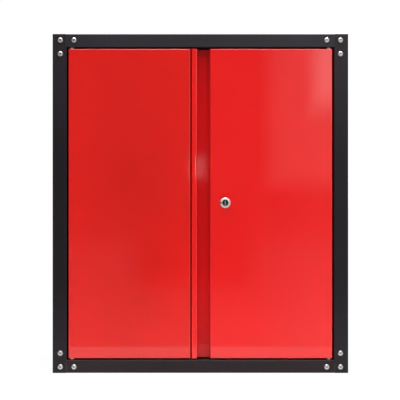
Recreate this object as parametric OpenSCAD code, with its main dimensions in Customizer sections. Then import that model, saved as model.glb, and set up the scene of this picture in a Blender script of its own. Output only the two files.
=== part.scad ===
// Wall-mounted tool cabinet with two pivot-hung doors, a full-height pull channel and a cam lock.
// Millimetres, +Z up. The wall is the plane y = 0 and the front of the frame faces -Y.
// The origin is the middle of the four wall bolts.

/* [Cabinet] */
// Overall width
cabinet_w = 600; // [520:1:800]
// Overall height
cabinet_h = 687.5; // [600:0.5:900]
// Depth from the wall to the front of the frame
cabinet_d = 280; // [220:1:400]
// Thickness of the carcass sheet
sheet = 1; // [0.8:0.1:1.5]
// Inside radius of the carcass bends
bend_r = 0.6; // [0.4:0.1:1.5]
// Width of the rear flanges that the back panel is screwed to
rear_flange = 18; // [14:0.5:26]
// Height of the turned-down ends of the roof and of the floor
end_flange = 15; // [10:0.5:20]
// Seam between carcass panels that are not pressed together
seam = 0.3; // [0.2:0.05:0.5]

/* [Front frame] */
// Width of an upright's face
upright_face = 29; // [27:0.5:40]
// Height of a rail's face
rail_face = 26.5; // [25:0.5:40]
// Width of the flange that the doors close towards
stop_flange = 13; // [12:0.5:18]

/* [Corner joints] */
// Corner screw, distance from the cabinet's side
corner_screw_x = 16; // [14:0.5:18]
// Corner screw, distance from the cabinet's top or bottom
corner_screw_z = 12.5; // [11.5:0.5:13]
// Distance from the corner screw to its two neighbours
corner_screw_pitch = 27.7; // [25:0.1:34]
// Thickness of a corner plate
corner_plate_t = 2.5; // [2:0.5:4]
// Plate left beside a screw
corner_plate_edge = 8; // [6.5:0.5:9]
// Frame screw, thread diameter
frame_screw_d = 6; // [5:0.5:6]
// Frame screw, length under the head
frame_screw_l = 12; // [11:0.5:18]
// Frame screw, head diameter
frame_head_d = 10.8; // [9:0.1:12]
// Frame screw, head height
frame_head_h = 3.3; // [2.5:0.1:4]
// Frame screw, hexagon socket across flats
socket_af = 4; // [3:0.5:5]
// Frame nut, across flats
frame_nut_af = 10; // [9:0.5:11]
// Frame nut, height
frame_nut_h = 5; // [4:0.5:6]

/* [Back] */
// Thickness of the back panel
back_sheet = 1; // [0.8:0.1:1.5]
// Back panel edge, distance inside the carcass outline
back_inset = 1; // [0.5:0.5:3]
// Back screw, thread diameter
back_screw_d = 4; // [3:0.5:5]
// Back screw, length from the back face
back_screw_l = 8; // [7:0.5:12]
// Back screw, head diameter
back_head_d = 7.6; // [6:0.1:9]
// Back nut, across flats
back_nut_af = 7; // [6:0.5:8]
// Back nut, height
back_nut_h = 3.2; // [2.4:0.1:4]
// Back screws up each side
back_screws_side = 4; // [3:1:6]
// Back screws along the top and along the bottom
back_screws_end = 3; // [2:1:5]
// Distance of the outermost back screws from the cabinet's corners
back_screw_end_gap = 60; // [45:1:100]

/* [Wall bolts] */
// Spacing of the wall bolts across
wall_bolt_w = 440; // [300:1:460]
// Spacing of the wall bolts upwards
wall_bolt_h = 520; // [360:1:530]
// Diameter of the wall bolt holes
wall_bolt_d = 9; // [7:0.5:11]
// Height of a wall bar
wall_bar_h = 40; // [30:1:60]
// Thickness of a wall bar
wall_bar_t = 3; // [2:0.5:5]
// Length of a wall bar beyond its bolts
wall_bar_end = 25; // [15:1:28]
// Corner radius of a wall bar
wall_bar_r = 6; // [2:0.5:10]

/* [Shelf] */
// Width of a slotted post
post_w = 24; // [18:1:30]
// Depth of a slotted post from the side wall
post_d = 9; // [7:0.5:14]
// Thickness of a slotted post
post_t = 1.2; // [1:0.1:1.6]
// Distance of a post's ends from the roof and from the floor
post_end = 40; // [30:1:70]
// Distance of the front posts behind the shelf's front
front_post_y = 36; // [25:1:60]
// Distance of the rear posts from the wall
rear_post_y = 42; // [30:1:70]
// Pitch of the post slots
slot_pitch = 25; // [20:1:40]
// Height of a post slot
slot_h = 12; // [11:0.5:14]
// Width of a post slot
slot_w = 4; // [3.5:0.5:5]
// Height of the shelf's folded edge
shelf_lip = 28; // [24:0.5:40]
// Width of the shelf's turned-in bottom edge
shelf_return = 12; // [9:0.5:16]
// Gap from the shelf to the posts
shelf_side_gap = 1; // [0.5:0.1:2]
// Gap from the stop flange to the shelf's front
shelf_front_gap = 2; // [1:0.5:6]
// Gap from the shelf to the wall bars
shelf_rear_gap = 2; // [1:0.5:6]
// Reach of a shelf clip's ledge
clip_reach = 14; // [11:0.5:18]
// Width of a shelf clip's ledge
clip_w = 14; // [10:0.5:20]
// Thickness of a shelf clip
clip_t = 2; // [1.5:0.1:2.5]

/* [Doors] */
// Thickness of the door sheet
door_sheet = 1; // [0.8:0.1:1.5]
// Inside radius of the door bends
door_bend_r = 1.5; // [0.6:0.1:1.6]
// Depth of a folded door
door_d = 20; // [18:0.5:28]
// Door face, distance behind the front of the frame
door_setback = 0.8; // [0.3:0.1:3]
// Width of a door's turned-in rear edge
door_return = 14; // [12:0.5:20]
// Gap from a door to the upright
side_gap = 3; // [2.5:0.1:4]
// Gap from a door to the top rail
top_gap = 3; // [2.5:0.1:4.5]
// Gap from a door to the bottom rail
bottom_gap = 2.8; // [2:0.1:4.5]
// Gap between the doors
meeting_gap = 2; // [1.5:0.1:4]
// Door stiffener, overall width
stiffener_w = 48; // [36:1:70]
// Door stiffener, width of its raised middle
stiffener_top = 24; // [16:1:30]
// Door stiffener, depth
stiffener_d = 13; // [8:0.5:15]
// Door stiffener, distance from the door's top and bottom
stiffener_end = 45; // [40:1:80]

/* [Pull channel] */
// Width of the lip that the fingers pull
grip_lip = 11.5; // [9:0.5:16]
// Width of the channel's mouth
grip_mouth = 26.5; // [22:0.5:34]
// Depth of the lip's folded free edge
grip_hem = 5; // [3.5:0.5:7]
// Corner radius of the lip
grip_corner_r = 3; // [1:0.5:4]
// Front edge of the channel's fixed wall, distance behind the door face
grip_wall_front = 3; // [2.5:0.5:6]

/* [Pivots] */
// Pivot, distance from the door's outer edge
pivot_inset = 7; // [6.5:0.1:9]
// Pivot, distance behind the door face
pivot_setback = 6.5; // [6:0.1:7]
// Pivot pin, diameter
pin_d = 5; // [4:0.1:5]
// Radial clearance of the pin in its bush
pin_clear = 0.05; // [0.03:0.01:0.08]
// Pivot pin, head diameter
pin_head_d = 9; // [7:0.5:9]
// Pivot pin, head height
pin_head_h = 2.2; // [1.5:0.1:2.4]
// Pivot pin, reach into the door
pin_reach = 8; // [6:0.5:12]
// Pivot plate, thickness
pivot_plate_t = 2; // [1.5:0.1:2.2]
// Pivot plate, length
pivot_plate_l = 18; // [14:0.5:20]
// Bush, body diameter
bush_d = 6.8; // [6.5:0.1:7.5]
// Bush, collar diameter on the door
collar_d = 8.8; // [8:0.1:9.5]
// Bush, collar diameter at the rail
collar_tip_d = 6.4; // [6:0.1:7]
// Gap from the collar to the rail
collar_gap = 0.3; // [0.2:0.05:0.5]
// Bush, length past the bracket
bush_tail = 1.5; // [1:0.1:3]
// Bracket, thickness
bracket_t = 2; // [1.5:0.1:3]
// Bracket, length of each leg
bracket_l = 34; // [26:1:38]

/* [Buffers and catches] */
// Space between a closed door and the stop flange
buffer_h = 3; // [2.5:0.1:4]
// Gap from a buffer or a catch to the closed door
buffer_gap = 0.3; // [0.2:0.05:0.5]
// Buffer, diameter
buffer_d = 7; // [5:0.5:8]
// Buffers, distance from the middle of the cabinet, inner pair
buffer_inner_x = 45; // [40:1:60]
// Buffers, distance from the middle of the cabinet, outer pair
buffer_outer_x = 185; // [165:1:220]
// Catch, distance from the middle of the cabinet
catch_x = 105; // [95:1:125]
// Catch housing, width
catch_w = 48; // [44:1:56]
// Catch housing, depth
catch_d = 12; // [9:0.5:16]
// Catch housing, corner radius
catch_r = 1; // [0.5:0.1:2]
// Catch poles, width
pole_w = 26; // [18:1:28]
// Catch poles, thickness
pole_t = 1.4; // [1:0.1:1.6]
// Magnet between the poles, thickness
magnet_t = 2.6; // [2:0.1:3]
// Catch screw, diameter
catch_screw_d = 3; // [2.5:0.1:3.5]
// Catch screw, head diameter
catch_head_d = 5.4; // [4.5:0.1:6]

/* [Lock] */
// Lock, distance from the door's edge at the pull channel
lock_inset = 30.5; // [28:0.5:40]
// Lock, distance above the door's middle
lock_rise = 1.5; // [-10:0.5:10]
// Lock, diameter of the face ring
ring_d = 21.6; // [20.5:0.1:24]
// Lock, height of the face ring
ring_h = 3; // [2.5:0.1:4]
// Lock, diameter of the body
lock_body_d = 18; // [17:0.1:19]
// Lock, body across its flats
lock_flat = 15.8; // [15:0.1:16.5]
// Lock nut, across flats
lock_nut_af = 23; // [21:0.5:25]
// Lock nut, height
lock_nut_h = 4; // [3:0.5:6]
// Plug, diameter of its face
plug_face_d = 12.4; // [12.4:0.1:14.2]
// Plug, diameter of its body
plug_d = 11.6; // [11:0.1:12]
// Radial clearance of the plug in the housing
plug_clear = 0.06; // [0.04:0.01:0.08]
// Keyway, width
key_w = 2.2; // [1.8:0.1:2.6]
// Keyway, height
key_h = 8.4; // [7.5:0.1:9]
// Keyway, depth
key_depth = 18; // [12:0.5:22]
// Cam, thickness
cam_t = 2.5; // [2:0.1:3]
// Cam, length from the lock's axis
cam_l = 34; // [30:0.5:36]
// Cam, width
cam_w = 14; // [12:0.5:16]
// Cam, diameter of its hub
cam_hub_d = 18; // [17:0.5:20]
// Gap from the cam to the keeper
cam_gap = 1; // [0.5:0.1:2]
// Keeper, thickness
keeper_t = 1.5; // [1:0.1:2]
// Shelf's bottom edge above the lock's axis
lock_to_shelf = 13; // [12:0.5:16]
// Keeper rivet, diameter
rivet_d = 4; // [3:0.5:5]
// Keeper rivet, head diameter
rivet_head_d = 7; // [6:0.5:8]
// Keeper rivet, head height
rivet_head_h = 1.4; // [1:0.1:1.8]
// Plug seat, distance in front of the door face
plug_seat = 0.4; // [0.3:0.1:0.8]
// Plug face, distance behind the ring's front
plug_sink = 0.5; // [0.2:0.1:1]
// Plug's square tail, across flats
tail_af = 7; // [6:0.1:7.5]
// Plug's threaded stud, diameter
stud_d = 5; // [4:0.5:6]
// Plug's threaded stud, length
stud_l = 7; // [6:0.5:9]

/* [Hidden] */
$fn = 48;
bend_steps = 4;
// overlap of a cutting shape past the face it cuts
cut = 1;
// room between pieces that never touch
clear = 1;
// play of a screw in its hole
hole_play = 0.2;
// play between pieces of one body that only touch
fit_play = 0.05;

half_w = cabinet_w / 2;
half_h = cabinet_h / 2;
front_y = -cabinet_d;
rebate_d = door_setback + door_d + buffer_h;
stop_y = front_y + rebate_d;
opening_w = half_w - upright_face;
opening_h = half_h - rail_face;
// where a rail's face meets an upright's face
seam_x = half_w - upright_face + sheet + bend_r;
wall_in = half_w - sheet;
flange_front = -back_sheet - sheet;

door_out = opening_w - side_gap;
door_top = opening_h - top_gap;
door_bottom = bottom_gap - opening_h;
door_front = front_y + door_setback;
door_back = door_front + door_d;
door_w = door_out - (meeting_gap + grip_lip + grip_mouth) / 2;
door_in = door_out - door_w;
grip_left = meeting_gap - door_in;
grip_edge = grip_left + grip_lip;
pivot_x = door_out - pivot_inset;
pivot_y = door_front + pivot_setback;

shelf_front = stop_y + sheet + shelf_front_gap;
shelf_back = -back_sheet - wall_bar_t - shelf_rear_gap;
post_face = wall_in - post_d;
shelf_half = post_face - shelf_side_gap;
lock_x = door_in + lock_inset;
lock_z = (door_top + door_bottom) / 2 + lock_rise;
shelf_bottom = lock_z + lock_to_shelf;
shelf_top = shelf_bottom + shelf_lip;
post_ys = [shelf_front + front_post_y, -rear_post_y];
post_half = half_h - post_end;
slot_drop = 8;
slot_zero = shelf_bottom - slot_drop;

keeper_front = shelf_front + sheet;
cam_front = keeper_front + keeper_t + cam_gap;
lock_l = cam_front - door_front - hole_play;

corner_screws = [
    [half_w - corner_screw_x, half_h - corner_screw_z],
    [half_w - corner_screw_x - corner_screw_pitch, half_h - corner_screw_z],
    [half_w - corner_screw_x, half_h - corner_screw_z - corner_screw_pitch],
];
side_screw_span = cabinet_h - 2 * back_screw_end_gap;
end_screw_span = cabinet_w - 2 * back_screw_end_gap;
flange_mid = rear_flange / 2 + sheet;
back_side_screws = [
    for (i = [0 : back_screws_side - 1])
        [half_w - flange_mid, (i / (back_screws_side - 1) - 0.5) * side_screw_span]
];
back_end_screws = [
    for (i = [0 : back_screws_end - 1])
        [(i / (back_screws_end - 1) - 0.5) * end_screw_span, half_h - flange_mid]
];
buffer_xs = [buffer_inner_x, buffer_outer_x];
catch_z = opening_h - (top_gap + stop_flange) / 2;
catch_h = stop_flange - top_gap;
// depth of the poles and the magnet behind the stop flange
core_d = catch_d * 3 / 4;

// Shapes shared by several pieces

function unit(v) = v / norm(v);
function left_of(v) = [-v[1], v[0]];
function turned(v, a) = [v[0] * cos(a) - v[1] * sin(a), v[0] * sin(a) + v[1] * cos(a)];

// one square bend, on the side of the strip that lies off to the left of its middle
function bend_points(p, d0, d1, off, r) =
    let (s = sign(cross(d0, d1)), c = p - r * d0 + s * r * left_of(d0))
    [
        for (k = [0 : bend_steps])
            c - s * (r - s * off) * turned(left_of(d0), s * 90 * k / bend_steps)
    ];

// one side of a strip that is bent along a path
function strip_side(path, off, r) =
    let (last = len(path) - 1)
    [
        for (i = [0 : last])
            each (
                i == 0 ? [path[0] + off * left_of(unit(path[1] - path[0]))]
                : i == last ? [path[i] + off * left_of(unit(path[i] - path[i - 1]))]
                : bend_points(path[i], unit(path[i] - path[i - 1]), unit(path[i + 1] - path[i]), off, r)
            )
    ];

function backwards(points) = [for (i = [len(points) - 1 : -1 : 0]) points[i]];

// flat outline of a sheet of thickness t bent along the path of its middle, inside radius inner_r
module bent_strip(path, t, inner_r) {
    r = inner_r + t / 2;
    polygon(concat(strip_side(path, t / 2, r), backwards(strip_side(path, -t / 2, r))));
}

function corner_points(cx, cy, r, start) =
    [for (k = [0 : bend_steps]) [cx, cy] + r * turned([1, 0], start + 90 * k / bend_steps)];

// rectangle with rounded corners
module rounded_rect(x0, x1, y0, y1, r) {
    polygon(concat(
        corner_points(x1 - r, y1 - r, r, 0),
        corner_points(x0 + r, y1 - r, r, 90),
        corner_points(x0 + r, y0 + r, r, 180),
        corner_points(x1 - r, y0 + r, r, 270)
    ));
}

// box between two corners
module span(low, high) {
    translate(low) cube(high - low);
}

// a drawing in the y-z plane drawn out along x
module along_x(x0, x1) {
    translate([x0, 0, 0]) rotate([90, 0, 90]) linear_extrude(x1 - x0) children();
}

// a drawing in the x-z plane drawn out along y
module along_y(y0, y1) {
    translate([0, y1, 0]) rotate([90, 0, 0]) linear_extrude(y1 - y0) children();
}

// box whose edges round the two faces across y are rounded
module folded_block(low, high, r) {
    intersection() {
        translate([0, 0, low[2]]) linear_extrude(high[2] - low[2])
            rounded_rect(low[0], high[0], low[1], high[1], r);
        along_x(low[0], high[0]) rounded_rect(low[1], high[1], low[2], high[2], r);
    }
}

// pan folded from sheet t with inside radius inner_r, face towards -y, rear edges turned in by inturn
module pan(low, high, t, inturn, inner_r) {
    wall = [t, t, t];
    difference() {
        folded_block(low, high, inner_r + t);
        folded_block(low + wall, high - wall, inner_r);
        span(
            [low[0] + inturn, high[1] - t - cut, low[2] + inturn],
            [high[0] - inturn, high[1] + cut, high[2] - inturn]
        );
    }
}

// things that point to the front: local z runs towards -y
module facing_front(x, y, z) {
    translate([x, y, z]) rotate([90, 0, 0]) children();
}

// things on the back face: local z runs towards the wall
module facing_wall(x, z) {
    translate([x, 0, z]) rotate([-90, 0, 0]) children();
}

// copies on both sides
module both_sides() {
    children();
    mirror([1, 0, 0]) children();
}

// copies at the top and at the bottom
module both_ends() {
    children();
    mirror([0, 0, 1]) children();
}

module at_corner_screws(y) {
    for (p = corner_screws) facing_front(p[0], y, p[1]) children();
}

module at_back_screws() {
    both_sides() for (p = back_side_screws) facing_wall(p[0], p[1]) children();
    both_ends() for (p = back_end_screws) facing_wall(p[0], p[1]) children();
}

module corner_screw_holes() {
    both_sides() both_ends() at_corner_screws(front_y)
        translate([0, 0, -sheet - corner_plate_t - cut])
            cylinder(d = frame_screw_d + 2 * hole_play, h = sheet + corner_plate_t + 2 * cut);
}

// countersunk head and shank, wider by play
module back_screw_shape(play, length) {
    head_depth = (back_head_d - back_screw_d) / 2;
    translate([0, 0, -head_depth])
        cylinder(d1 = back_screw_d + 2 * play, d2 = back_head_d + 2 * play, h = head_depth);
    translate([0, 0, -length]) cylinder(d = back_screw_d + 2 * play, h = length);
}

module back_screw_holes() {
    at_back_screws() {
        back_screw_shape(hole_play / 2, back_screw_l);
        cylinder(d = back_head_d + hole_play, h = cut);
    }
}

module hex_nut(af, d, h) {
    difference() {
        cylinder(d = af / cos(30), h = h, $fn = 6);
        translate([0, 0, -cut]) cylinder(d = d + 2 * fit_play, h = h + 2 * cut);
    }
}

// Carcass panels

module side_panel() {
    path = [
        [half_w - rear_flange, flange_front + sheet / 2],
        [half_w - sheet / 2, flange_front + sheet / 2],
        [half_w - sheet / 2, front_y + sheet / 2],
        [opening_w + sheet / 2, front_y + sheet / 2],
        [opening_w + sheet / 2, stop_y + sheet / 2],
        [opening_w - stop_flange, stop_y + sheet / 2],
    ];
    difference() {
        translate([0, 0, -half_h]) linear_extrude(cabinet_h) bent_strip(path, sheet, bend_r);
        // the rails pass here
        both_ends() span(
            [opening_w - stop_flange - cut, front_y - cut, opening_h],
            [seam_x, stop_y + sheet + cut, half_h + cut]
        );
        // the rear flanges of roof and floor pass here
        both_ends() span(
            [half_w - rear_flange - cut, flange_front - cut, half_h - rear_flange - seam],
            [wall_in, -back_sheet + cut, half_h + cut]
        );
        corner_screw_holes();
        back_screw_holes();
    }
}

module rail_panel() {
    path = [
        [flange_front + sheet / 2, half_h - rear_flange],
        [flange_front + sheet / 2, half_h - sheet / 2],
        [front_y + sheet / 2, half_h - sheet / 2],
        [front_y + sheet / 2, opening_h + sheet / 2],
        [stop_y + sheet / 2, opening_h + sheet / 2],
        [stop_y + sheet / 2, opening_h - stop_flange],
    ];
    run = wall_in - seam;
    low_z = opening_h - stop_flange - cut;
    difference() {
        union() {
            along_x(-run, run) bent_strip(path, sheet, bend_r);
            both_sides() span(
                [run - sheet, stop_y + sheet + shelf_front_gap, half_h - end_flange],
                [run, flange_front - bend_r, half_h - sheet / 2]
            );
        }
        both_sides() {
            // the upright's face fills this corner
            span(
                [seam_x - seam, front_y - cut, low_z],
                [half_w, front_y + sheet + seam, half_h + cut]
            );
            span(
                [seam_x - seam, front_y - cut, low_z],
                [half_w, stop_y + sheet + cut, half_h - sheet - bend_r]
            );
            // the upright's stop flange passes here
            span(
                [opening_w - stop_flange - seam, front_y - cut, low_z],
                [half_w, stop_y + sheet + cut, opening_h]
            );
            translate([pivot_x, pivot_y, opening_h - cut])
                cylinder(d = pin_d + 2 * fit_play, h = sheet + 2 * cut);
        }
        corner_screw_holes();
        back_screw_holes();
    }
}

module buffer_holes(gap) {
    both_sides() for (x = buffer_xs)
        facing_front(x, stop_y + sheet + cut, opening_h - (gap + stop_flange) / 2)
            cylinder(d = buffer_d / 2 + 2 * fit_play, h = sheet + 2 * cut);
}

module left_side_panel() {
    color("#2b2a2c") mirror([1, 0, 0]) side_panel();
}

module right_side_panel() {
    color("#2b2a2c") side_panel();
}

module top_panel() {
    color("#2b2a2c") difference() {
        rail_panel();
        buffer_holes(top_gap);
        both_sides() translate([catch_x, 0, catch_z]) {
            span(
                [-pole_w / 2 - hole_play, stop_y - cut, -magnet_t / 2 - pole_t - hole_play],
                [pole_w / 2 + hole_play, stop_y + sheet + cut, magnet_t / 2 + pole_t + hole_play]
            );
            at_catch_screws() translate([0, 0, -sheet - cut])
                cylinder(d = catch_screw_d + 2 * fit_play, h = sheet + 2 * cut);
        }
    }
}

module bottom_panel() {
    color("#2b2a2c") mirror([0, 0, 1]) difference() {
        rail_panel();
        buffer_holes(bottom_gap);
    }
}

module back_panel() {
    color("#2b2a2c") difference() {
        span(
            [back_inset - half_w, -back_sheet, back_inset - half_h],
            [half_w - back_inset, 0, half_h - back_inset]
        );
        both_sides() both_ends() wall_bolt_hole();
        back_screw_holes();
    }
}

module wall_bolt_hole() {
    facing_front(wall_bolt_w / 2, cut, wall_bolt_h / 2)
        cylinder(d = wall_bolt_d, h = back_sheet + wall_bar_t + 2 * cut);
}

// Corner joints of the front frame

module corner_plate() {
    outer = half_w - corner_screw_x + corner_plate_edge;
    upright_in = half_w - corner_screw_x - corner_plate_edge;
    rail_in = half_w - corner_screw_x - corner_screw_pitch - corner_plate_edge;
    top = half_h - sheet - bend_r - clear;
    // the rail leg ends above the pivot pin's head
    rail_low = opening_h + sheet + pivot_plate_t + pin_head_h + clear;
    upright_low = half_h - corner_screw_z - corner_screw_pitch - corner_plate_edge;
    plate_back = front_y + sheet + corner_plate_t;
    difference() {
        along_y(front_y + sheet, plate_back) polygon([
            [outer, top],
            [rail_in, top],
            [rail_in, rail_low],
            [upright_in, rail_low],
            [upright_in, upright_low],
            [outer, upright_low],
        ]);
        corner_screw_holes();
    }
}

module upper_left_corner_plate() {
    color("#b9bcc0") mirror([1, 0, 0]) corner_plate();
}

module upper_right_corner_plate() {
    color("#b9bcc0") corner_plate();
}

module lower_left_corner_plate() {
    color("#b9bcc0") mirror([1, 0, 0]) mirror([0, 0, 1]) corner_plate();
}

module lower_right_corner_plate() {
    color("#b9bcc0") mirror([0, 0, 1]) corner_plate();
}

// button head with a hexagon socket, shank behind it
module frame_screw() {
    rim = frame_head_h / 5;
    crown_r = frame_head_d / 4;
    head = concat(
        [[0, 0], [frame_head_d / 2, 0]],
        [
            for (a = [0 : 15 : 90])
                [crown_r + (frame_head_d / 2 - crown_r) * cos(a), rim + (frame_head_h - rim) * sin(a)]
        ],
        [[0, frame_head_h]]
    );
    difference() {
        union() {
            rotate_extrude() polygon(head);
            translate([0, 0, -frame_screw_l]) cylinder(d = frame_screw_d, h = frame_screw_l);
        }
        translate([0, 0, frame_head_h / 3])
            cylinder(d = socket_af / cos(30), h = frame_head_h, $fn = 6);
    }
}

module frame_screws() {
    color("#c9cbce") both_sides() both_ends() at_corner_screws(front_y) frame_screw();
}

module frame_nuts() {
    color("#b9bcc0") both_sides() both_ends()
        at_corner_screws(front_y + sheet + corner_plate_t + frame_nut_h)
            hex_nut(frame_nut_af, frame_screw_d, frame_nut_h);
}

// Back panel fasteners and wall bars

module back_panel_screws() {
    color("#8f9296") at_back_screws() difference() {
        back_screw_shape(0, back_screw_l);
        // cross recess
        for (a = [0, 90]) rotate(a)
            translate([0, 0, -back_screw_d / 8])
                cube([back_screw_d, back_screw_d / 5, back_screw_d / 2], center = true);
    }
}

module back_panel_nuts() {
    color("#b9bcc0") at_back_screws() translate([0, 0, flange_front - back_nut_h])
        hex_nut(back_nut_af, back_screw_d, back_nut_h);
}

module wall_bar() {
    half_l = wall_bolt_w / 2 + wall_bar_end;
    difference() {
        along_y(-back_sheet - wall_bar_t, -back_sheet) rounded_rect(
            -half_l, half_l,
            (wall_bolt_h - wall_bar_h) / 2, (wall_bolt_h + wall_bar_h) / 2,
            wall_bar_r
        );
        both_sides() wall_bolt_hole();
    }
}

module upper_wall_bar() {
    color("#3a3a3d") wall_bar();
}

module lower_wall_bar() {
    color("#3a3a3d") mirror([0, 0, 1]) wall_bar();
}

// Shelf and its supports

module shelf_post(y) {
    edge = post_w / 2 - post_t / 2;
    web = post_face + post_t / 2;
    first = ceil((post_end / 2 - post_half - slot_zero) / slot_pitch);
    last = floor((post_half - post_end / 2 - slot_h - slot_zero) / slot_pitch);
    difference() {
        translate([0, y, -post_half]) linear_extrude(2 * post_half)
            bent_strip([[wall_in, -edge], [web, -edge], [web, edge], [wall_in, edge]], post_t, bend_r);
        for (k = [first : last]) span(
            [post_face - cut, y - slot_w / 2, slot_zero + k * slot_pitch],
            [post_face + post_t + cut, y + slot_w / 2, slot_zero + k * slot_pitch + slot_h]
        );
    }
}

module front_left_shelf_post() {
    color("#47474a") mirror([1, 0, 0]) shelf_post(post_ys[0]);
}

module rear_left_shelf_post() {
    color("#47474a") mirror([1, 0, 0]) shelf_post(post_ys[1]);
}

module front_right_shelf_post() {
    color("#47474a") shelf_post(post_ys[0]);
}

module rear_right_shelf_post() {
    color("#47474a") shelf_post(post_ys[1]);
}

module shelf() {
    // the cam swings up through this part of the front edge
    notch_left = lock_x - cam_hub_d;
    notch_right = lock_x + cam_l + cam_w / 2;
    color("#2b2a2c") difference() {
        rotate([-90, 0, 0]) pan(
            [-shelf_half, -shelf_top, shelf_front],
            [shelf_half, -shelf_bottom, shelf_back],
            sheet, shelf_return, bend_r
        );
        span(
            [notch_left, keeper_front, shelf_bottom - cut],
            [notch_right, shelf_front + shelf_return + cut, shelf_bottom + sheet + bend_r]
        );
        keeper_rivet_holes();
    }
}

module shelf_clip() {
    hook_w = slot_w - 2 * hole_play;
    neck_h = 5;
    hook_drop = 6;
    // plate and ledge in front of the post
    span([post_face - clip_t, -clip_w / 2, slot_zero - hook_drop], [post_face, clip_w / 2, shelf_bottom]);
    span([post_face - clip_reach, -clip_w / 2, shelf_bottom - clip_t], [post_face, clip_w / 2, shelf_bottom]);
    // neck through the slot and hook behind it
    span(
        [post_face - clip_t / 2, -hook_w / 2, slot_zero],
        [post_face + post_t + hole_play + clip_t, hook_w / 2, slot_zero + neck_h]
    );
    span(
        [post_face + post_t + hole_play, -hook_w / 2, slot_zero - hook_drop],
        [post_face + post_t + hole_play + clip_t, hook_w / 2, slot_zero + neck_h]
    );
}

module shelf_clips() {
    color("#c9cbce") both_sides() for (y = post_ys) translate([0, y, 0]) shelf_clip();
}

module lock_keeper() {
    color("#c9cbce") difference() {
        span(
            [lock_x - 2 * cam_hub_d, keeper_front, shelf_bottom + sheet + bend_r],
            [lock_x + cam_hub_d / 2, keeper_front + keeper_t, shelf_top - sheet - bend_r]
        );
        keeper_rivet_holes();
    }
}

module at_keeper_rivets() {
    for (step = [1, 1.6])
        facing_front(lock_x - step * cam_hub_d, shelf_front, (shelf_bottom + shelf_top) / 2) children();
}

module keeper_rivet_holes() {
    grip = sheet + keeper_t;
    at_keeper_rivets() translate([0, 0, -grip - cut])
        cylinder(d = rivet_d + 2 * fit_play, h = grip + 2 * cut);
}

module rivet_head() {
    rotate_extrude() polygon([
        [0, 0], [rivet_head_d / 2, 0], [rivet_head_d / 2, rivet_head_h / 3],
        [rivet_head_d / 3, rivet_head_h], [0, rivet_head_h],
    ]);
}

module keeper_rivets() {
    grip = sheet + keeper_t;
    color("#c9cbce") at_keeper_rivets() {
        rivet_head();
        translate([0, 0, -grip]) cylinder(d = rivet_d, h = grip);
        translate([0, 0, -grip]) mirror([0, 0, 1]) rivet_head();
    }
}

// Pivots in the rails

module pivot_plate() {
    front = front_y + sheet + bend_r;
    difference() {
        span(
            [pivot_x - pivot_plate_l / 2, front, opening_h + sheet],
            [pivot_x + pivot_plate_l / 2, stop_y - bend_r, opening_h + sheet + pivot_plate_t]
        );
        translate([pivot_x, pivot_y, opening_h]) cylinder(d = pin_d + 2 * fit_play, h = rail_face);
    }
}

module upper_left_pivot_plate() {
    color("#b9bcc0") mirror([1, 0, 0]) pivot_plate();
}

module upper_right_pivot_plate() {
    color("#b9bcc0") pivot_plate();
}

module lower_left_pivot_plate() {
    color("#b9bcc0") mirror([1, 0, 0]) mirror([0, 0, 1]) pivot_plate();
}

module lower_right_pivot_plate() {
    color("#b9bcc0") mirror([0, 0, 1]) pivot_plate();
}

// headed pin that comes through the rail into the door, gap is the space to that door
module pivot_pin(gap) {
    head_z = opening_h + sheet + pivot_plate_t;
    tip_z = opening_h - gap - pin_reach;
    taper = pin_d / 8;
    translate([pivot_x, pivot_y, 0]) {
        translate([0, 0, head_z]) cylinder(d = pin_head_d, h = pin_head_h);
        translate([0, 0, tip_z + taper]) cylinder(d = pin_d, h = head_z - tip_z - taper);
        translate([0, 0, tip_z]) cylinder(d1 = pin_d - 2 * taper, d2 = pin_d, h = taper);
    }
}

module upper_left_pivot_pin() {
    color("#c9cbce") mirror([1, 0, 0]) pivot_pin(top_gap);
}

module upper_right_pivot_pin() {
    color("#c9cbce") pivot_pin(top_gap);
}

module lower_left_pivot_pin() {
    color("#c9cbce") mirror([1, 0, 0]) mirror([0, 0, 1]) pivot_pin(bottom_gap);
}

module lower_right_pivot_pin() {
    color("#c9cbce") mirror([0, 0, 1]) pivot_pin(bottom_gap);
}

// Buffers and magnetic catches on the stop flanges

module door_buffer() {
    height = buffer_h - buffer_gap;
    rotate_extrude() polygon([
        [0, -2 * sheet], [buffer_d / 3, -2 * sheet], [buffer_d / 3, -sheet], [buffer_d / 4, -sheet],
        [buffer_d / 4, 0], [buffer_d / 2, 0], [buffer_d / 2, height / 2],
        [buffer_d * 3 / 8, height * 7 / 8], [buffer_d / 4, height], [0, height],
    ]);
}

module door_buffers() {
    color("#1c1c1d") {
        both_sides() for (x = buffer_xs)
            facing_front(x, stop_y, opening_h - (top_gap + stop_flange) / 2) door_buffer();
        both_sides() for (x = buffer_xs)
            facing_front(x, stop_y, (bottom_gap + stop_flange) / 2 - opening_h) door_buffer();
    }
}

module at_catch_screws() {
    for (s = [-1, 1])
        facing_front(s * (pole_w + catch_w) / 4, stop_y, 0) children();
}

module door_catch() {
    housing_front = stop_y + sheet;
    translate([catch_x, 0, catch_z]) difference() {
        along_y(housing_front, housing_front + catch_d)
            rounded_rect(-catch_w / 2, catch_w / 2, -catch_h / 2, catch_h / 2, catch_r);
        catch_core(fit_play, housing_front - cut);
        at_catch_screws() translate([0, 0, -core_d])
            cylinder(d = catch_screw_d + 2 * fit_play, h = catch_d);
    }
}

// space that the poles and the magnet fill behind the flange
module catch_core(play, front) {
    half_core = magnet_t / 2 + pole_t + play;
    span(
        [-pole_w / 2 - play, front, -half_core],
        [pole_w / 2 + play, stop_y + sheet + core_d + play, half_core]
    );
}

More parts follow.
